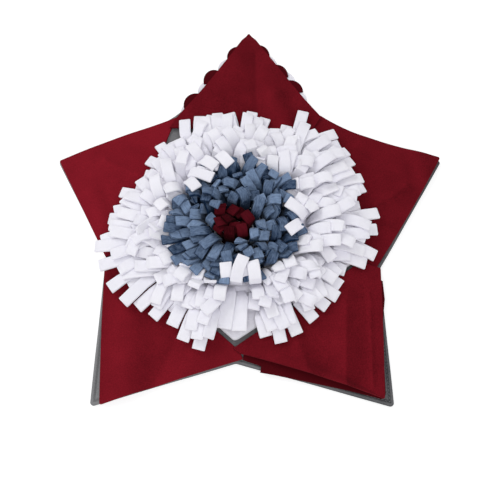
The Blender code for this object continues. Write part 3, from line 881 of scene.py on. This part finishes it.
def strips_of_row(number, row):
    """One row's strips. Lean, turn, twist and the place of the bend are the row's own, give or
    take a draw. A draw also says which strips bend back towards the middle."""
    strays = [stray for stray in STRAYS if stray.row == number]
    bearing, root = roots_of_row(number, row, strays)
    length, comb = lengths_of_row(number, row, bearing, root)
    count = len(bearing)
    folded_in = on_sides(bearing, FOLDED_IN) & (number == 4)
    combed = on_sides(bearing, COMBED) & (row.cloth == BLUE)
    inward = (draw.uniform(0, 1, count) < row.inward) | folded_in
    lean = (row.lean + row.spread * draw.uniform(-1, 1, count)) * np.where(inward, -1, 1)
    turn = np.radians(row.turn) * draw.uniform(-1, 1, count) + comb
    turn = turn * np.where(on_sides(bearing, BESIDE_CORNER), TURN_BESIDE, 1)
    twist = np.radians(row.turn) * TWIST_SHARE * draw.uniform(-1, 1, count)
    bend_at = row.bend + BEND_SPREAD * draw.uniform(-1, 1, count)
    width, fan_lean, fold = np.full((count, 3), (row.width, row.fan_lean, row.fold)).T
    made = Strips(
        row=np.full(count, number), root=root, bearing=bearing, width=width, fan_lean=fan_lean,
        length=length + FOLDED_LONGER * folded_in, fold=fold, twist=twist,
        stem=np.where(folded_in, FOLDED_STEM, float(row.stem)),
        lean=np.where(combed, np.abs(lean), lean),
        turn=turn * np.where(combed, COMBED_TURN, 1),
        bend_at=bend_at - FOLDED_SOONER * folded_in - COMBED_SOONER * combed,
    )
    aim_strays(made, strays)
    return made


strips = [strips_of_row(number, row) for number, row in enumerate(STRIP_ROWS.values())]
strips = Strips(*(np.concatenate(parts) for parts in zip(*strips)))
print("strips:", len(strips.row))

# %% The neat fan and the stirred one
ALONG, ACROSS = 11, 3
ROOT_WIDTH, CLOTH_HALF, BAND_HEIGHT = 0.55, 0.375, 1.5


def strip_cloth(stem, lean, turn, twist):
    """Every strip as 11 by 3 points. At share s of its length a strip leans by
    stem (1 - (1 - s)^3.5) + (lean - stem) bend from upright and heads for bearing + turn swing,
    where bend and swing each go smoothly from 0 to 1. The strip is gathered in at its root."""
    share = np.linspace(0, 1, ALONG)
    middle = (share[1:] + share[:-1]) / 2
    bend_at, fold = strips.bend_at[:, None], strips.fold[:, None]

    def frames(s):
        bend = smooth_step(bend_at - fold, bend_at + fold, s)
        tilt = np.radians(stem[:, None] * (1 - (1 - s) ** 3.5) + (lean - stem)[:, None] * bend)
        heading = strips.bearing[:, None] + turn[:, None] * smooth_step(0.0, bend_at, s)
        out = np.stack([np.cos(heading), np.sin(heading), np.zeros_like(heading)], -1)
        side = np.stack([-np.sin(heading), np.cos(heading), np.zeros_like(heading)], -1)
        way = out * np.sin(tilt)[..., None] + np.array([0, 0, 1.0]) * np.cos(tilt)[..., None]
        spin = (twist[:, None] * s)[..., None]
        return way, side * np.cos(spin) + np.cross(way, side) * np.sin(spin)

    steps = frames(middle)[0] * (strips.length / (ALONG - 1))[:, None, None]
    line = np.concatenate([np.zeros((len(steps), 1, 3)), np.cumsum(steps, 1)], 1)
    line += at_height(strips.root, PAD_TOP + BAND_HEIGHT)[:, None]
    side = frames(share)[1]
    offset = np.linspace(-CLOTH_HALF, CLOTH_HALF, ACROSS)[:, None] * gathered(share)[:, None, None]
    return line[:, :, None] + side[:, :, None] * (offset * strips.width[:, None, None, None])


def gathered(share):
    """The width at share s of a strip's length, as a share of its full width."""
    return ROOT_WIDTH + (1 - ROOT_WIDTH) * smooth_step(0.0, 0.3, share)


still = np.zeros(len(strips.row))
neat = strip_cloth(strips.fan_lean, strips.fan_lean, still, still)
stirred = strip_cloth(strips.stem, strips.lean, strips.turn, strips.twist)

# %% [markdown]
# ### Settling
#
# Each step draws the cloth a little towards its stirred shape and lets it sink. Then it is
# mended a few times over. Linked points go back to their distance, each by half the error. Points
# of different strips nearer than 3.9 mm are pushed apart, each by a quarter of the lack, which
# keeps strips 2.8 mm thick from touching. Points below their support are lifted. The roots stay.

# %% What pushes and what holds
APART, BLOCK = 3.9, 400


def near_pairs(points, within):
    """Pairs of points of different strips that are nearer than within. The points are sorted
    along x, so each block is only compared with those beside it."""
    flat = points.reshape(-1, 3)
    owner = np.repeat(np.arange(len(points)), ALONG * ACROSS)
    order = np.argsort(flat[:, 0], kind="stable")
    x, y, z = flat[order].T
    found = []
    for first in range(0, len(order), BLOCK):
        last = min(first + BLOCK, len(order))
        end = np.searchsorted(x, x[last - 1] + within)
        gap = sum((axis[first:last, None] - axis[first:end]) ** 2 for axis in (x, y, z))
        a, b = np.nonzero(gap < within * within)
        a, b = order[a[a < b] + first], order[b[a < b] + first]
        other = owner[a] != owner[b]
        found.append(np.stack([a[other], b[other]]))
    return np.concatenate(found, 1)


def links(points):
    """The cloth's links, as pairs of slices, each with its rest lengths and stiffness."""
    at = np.s_
    made = [(at[:, i : ALONG - 1 : 2], at[:, i + 1 :: 2], 1.0) for i in (0, 1)]
    made += [(at[:, :, i], at[:, :, i + 1], 1.0) for i in range(ACROSS - 1)]
    made += [(at[:, :, 0], at[:, :, 2], 0.8)]
    made += [(at[:, :-1, i], at[:, 1:, j], 0.5) for i, j in ((0, 1), (1, 0), (1, 2), (2, 1))]
    made += [(at[:, :-2], at[:, 2:], 0.05)]
    return [(a, b, np.linalg.norm(points[b] - points[a], axis=-1, keepdims=True), k) for a, b, k in made]

# %% The settling
REST_ON, PUSH, DRAW_RATE, SINK = 1.6, 0.25, 0.045, 0.10
STEPS, LAST_STEPS, SWEEPS = 90, 14, 5


def settle(points, goal):
    """The neat cloth, stirred and settled."""
    points = points.copy()
    sewn = points[:, :2].copy()
    cloth = links(points)
    for step in range(STEPS + LAST_STEPS):
        if step < STEPS:
            points[:, 2:] += DRAW_RATE * (goal[:, 2:] - points[:, 2:])
            points[:, 2:, :, 2] -= SINK
        if step % 5 == 0:
            pairs = near_pairs(points, APART + 2.0)
        for _ in range(SWEEPS):
            for a, b, rest, stiffness in cloth:
                gap = points[b] - points[a]
                size = np.maximum(np.linalg.norm(gap, axis=-1, keepdims=True), 1e-6)
                mend = gap * (0.5 * stiffness * (size - rest) / size)
                points[a] += mend
                points[b] -= mend
            flat = points.reshape(-1, 3)
            gap = flat[pairs[1]] - flat[pairs[0]]
            size = np.maximum(np.linalg.norm(gap, axis=1), 1e-6)
            close = size < APART
            lack = PUSH * (APART - size[close]) / size[close]
            push = gap[close] * lack[:, None]
            first, second = pairs[:, close]
            for axis in range(3):
                away = np.bincount(second, push[:, axis], len(flat))
                flat[:, axis] += away - np.bincount(first, push[:, axis], len(flat))
            floor_height = height_below(points[..., 0], points[..., 1]) + REST_ON
            points[..., 2] = np.maximum(points[..., 2], floor_height)
            points[:, :2] = sewn
    return points


pile = settle(neat, stirred)
too_near = near_pairs(pile, 3.0).shape[1]
print("points of cloth:", pile.size // 3, "and pairs still nearer than 3 mm:", too_near)

# %% [markdown]
# ### Strips from the settled cloth
#
# Each strip is a loft of eight-cornered rings, carried along the settled line: 2.8 mm thick, with
# softened long edges, and square at its cut end. There are hundreds, so each has only 58 faces,
# where a bevel would add many more. Its tone is a draw of its own, with painted shade deep down
# near the root. Along the cut edges it is darker, partly as the knit there is darker and partly as
# painted shade.

# %% Strip meshes
STRIP_THICK = 2.8
SECTION_SHARES = np.array([0.0, 0.3, 0.52, 0.66, 0.78, 0.89, 1.0])
SECTION_ACROSS = np.array([0.5, 0.44, -0.44, -0.5, -0.5, -0.44, 0.44, 0.5])
SECTION_UP = np.array([0.26, 0.5, 0.5, 0.26, -0.26, -0.5, -0.5, -0.26])
END_STEP, END_WIDE, END_THICK = 0.7, 0.94, 0.72
STRIP_SHARP, NEXT_WEAVE = 38.0, 17.0


def strip_rings(cloth, widths):
    """Rings of points for each strip. Along a smooth line through the cloth's middle, a ring
    lies at width a side + thickness b up, where (a, b) are the corners of the section."""
    line = cloth[:, :, 1].copy()
    line[:, 1:-1] = 0.5 * line[:, 1:-1] + 0.25 * (line[:, :-2] + line[:, 2:])
    side = unit(cloth[:, :, 2] - cloth[:, :, 0])
    side[:, 1:-1] = unit(0.5 * side[:, 1:-1] + 0.25 * (side[:, :-2] + side[:, 2:]))
    low = np.minimum((SECTION_SHARES * (ALONG - 1)).astype(int), ALONG - 2)
    part = (SECTION_SHARES * (ALONG - 1) - low)[None, :, None]
    line = line[:, low] * (1 - part) + line[:, low + 1] * part
    side = unit(side[:, low] * (1 - part) + side[:, low + 1] * part)
    way = unit(np.gradient(line, axis=1))
    side = unit(side - way * (side * way).sum(-1, keepdims=True))
    line = np.concatenate([line[:, :-1], line[:, -1:] - way[:, -1:] * END_STEP, line[:, -1:]], 1)
    way = np.concatenate([way, way[:, -1:]], 1)
    side = np.concatenate([side, side[:, -1:]], 1)
    up = np.cross(way, side)
    taper = gathered(np.append(SECTION_SHARES, 1.0))[:, None]
    wide = widths[:, None, None] * SECTION_ACROSS * taper
    thick = STRIP_THICK * SECTION_UP * np.ones((*line.shape[:2], 1))
    wide[:, -1] *= END_WIDE
    thick[:, -1] *= END_THICK
    return line[:, :, None] + side[:, :, None] * wide[..., None] + up[:, :, None] * thick[..., None]


def strip_weave(rings):
    """Where each point lies in its own strip: across it, along it, and through it with 17 mm more
    for each next strip, so that no two strips share a pattern."""
    middle = rings.mean(2)
    along = np.linalg.norm(np.diff(middle, axis=1, prepend=middle[:, :1]), axis=-1).cumsum(1)
    offset = np.arange(len(rings))[:, None, None] * NEXT_WEAVE
    across = np.linalg.norm(rings[:, :, :1] - rings[:, :, 3:4], axis=-1) * SECTION_ACROSS
    through = offset + STRIP_THICK * SECTION_UP
    return np.stack(np.broadcast_arrays(across, along[..., None], through), -1)

# %% The rows, each a piece
# The tape is painted darker, as shade among the roots of the strips.
BAND_POINTS, BAND_HALF, BAND_SHADE_TONE = 96, 3.2, -1.0
# Painted shade: strips are painted darker deep down near the root. Along the cut edges they are darker too,
# partly as the knit there is darker and partly as painted shade.
DEEP_SHADE_TONE, CUT_EDGE_AND_SHADE_TONE = 1.4, 0.9
STRIP_TONES = (-0.3, 1.3)


def band_rings(row):
    """The tape that a row is sewn to the pad with: a flat ring, closed on itself."""
    turn = np.linspace(0, 2 * math.pi, BAND_POINTS, endpoint=False)
    loops = [ring_path(row.radius + off, turn) for off in BAND_HALF * np.array([1, 1, -1, -1])]
    heights = PAD_TOP + BAND_HEIGHT * np.array([0, 1, 1, 0])
    return np.array([at_height(loop, height) for loop, height in zip(loops, heights)])


def band_faces(first):
    """Faces of a tape whose points are numbered from first."""
    point = np.arange(4 * BAND_POINTS).reshape(4, BAND_POINTS) + first
    above, beside = np.roll(point, -1, 0), np.roll(point, -1, 1)
    return np.stack([point, above, np.roll(above, -1, 1), beside], -1).reshape(-1, 4).tolist()


deep_shade = (1 - smooth_step(0.4, 0.75, np.append(SECTION_SHARES, 1.0)))[None, :, None]
cut = np.abs(SECTION_ACROSS) == 0.5
for number, (name, row) in enumerate(STRIP_ROWS.items()):
    mine = strips.row == number
    rings, band = strip_rings(pile[mine], strips.width[mine]), band_rings(row)
    faces = loft_faces(rings) + band_faces(rings.size // 3)
    points, weave = (
        np.concatenate([part.reshape(-1, 3), band.reshape(-1, 3)]) for part in (rings, strip_weave(rings))
    )
    own = draw.uniform(*STRIP_TONES, mine.sum())[:, None, None]
    tones = np.broadcast_to(own - DEEP_SHADE_TONE * deep_shade - CUT_EDGE_AND_SHADE_TONE * cut, rings.shape[:3])
    tones = np.append(tones, np.full(band.size // 3, BAND_SHADE_TONE))
    put_mesh(
        "fringe_" + name, points, faces, row.cloth, [name], tones, STRIP_SHARP, weave
    )

# %% [markdown]
# ## The sizes
#
# The box round the model and the box round what is shown, in millimetres.


# %% Sizes
shown_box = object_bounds()
for name, box in (("model", cad_box), ("shown", shown_box)):
    print(name, "box in mm:", [[round(v / MM, 1) for v in corner] for corner in box])
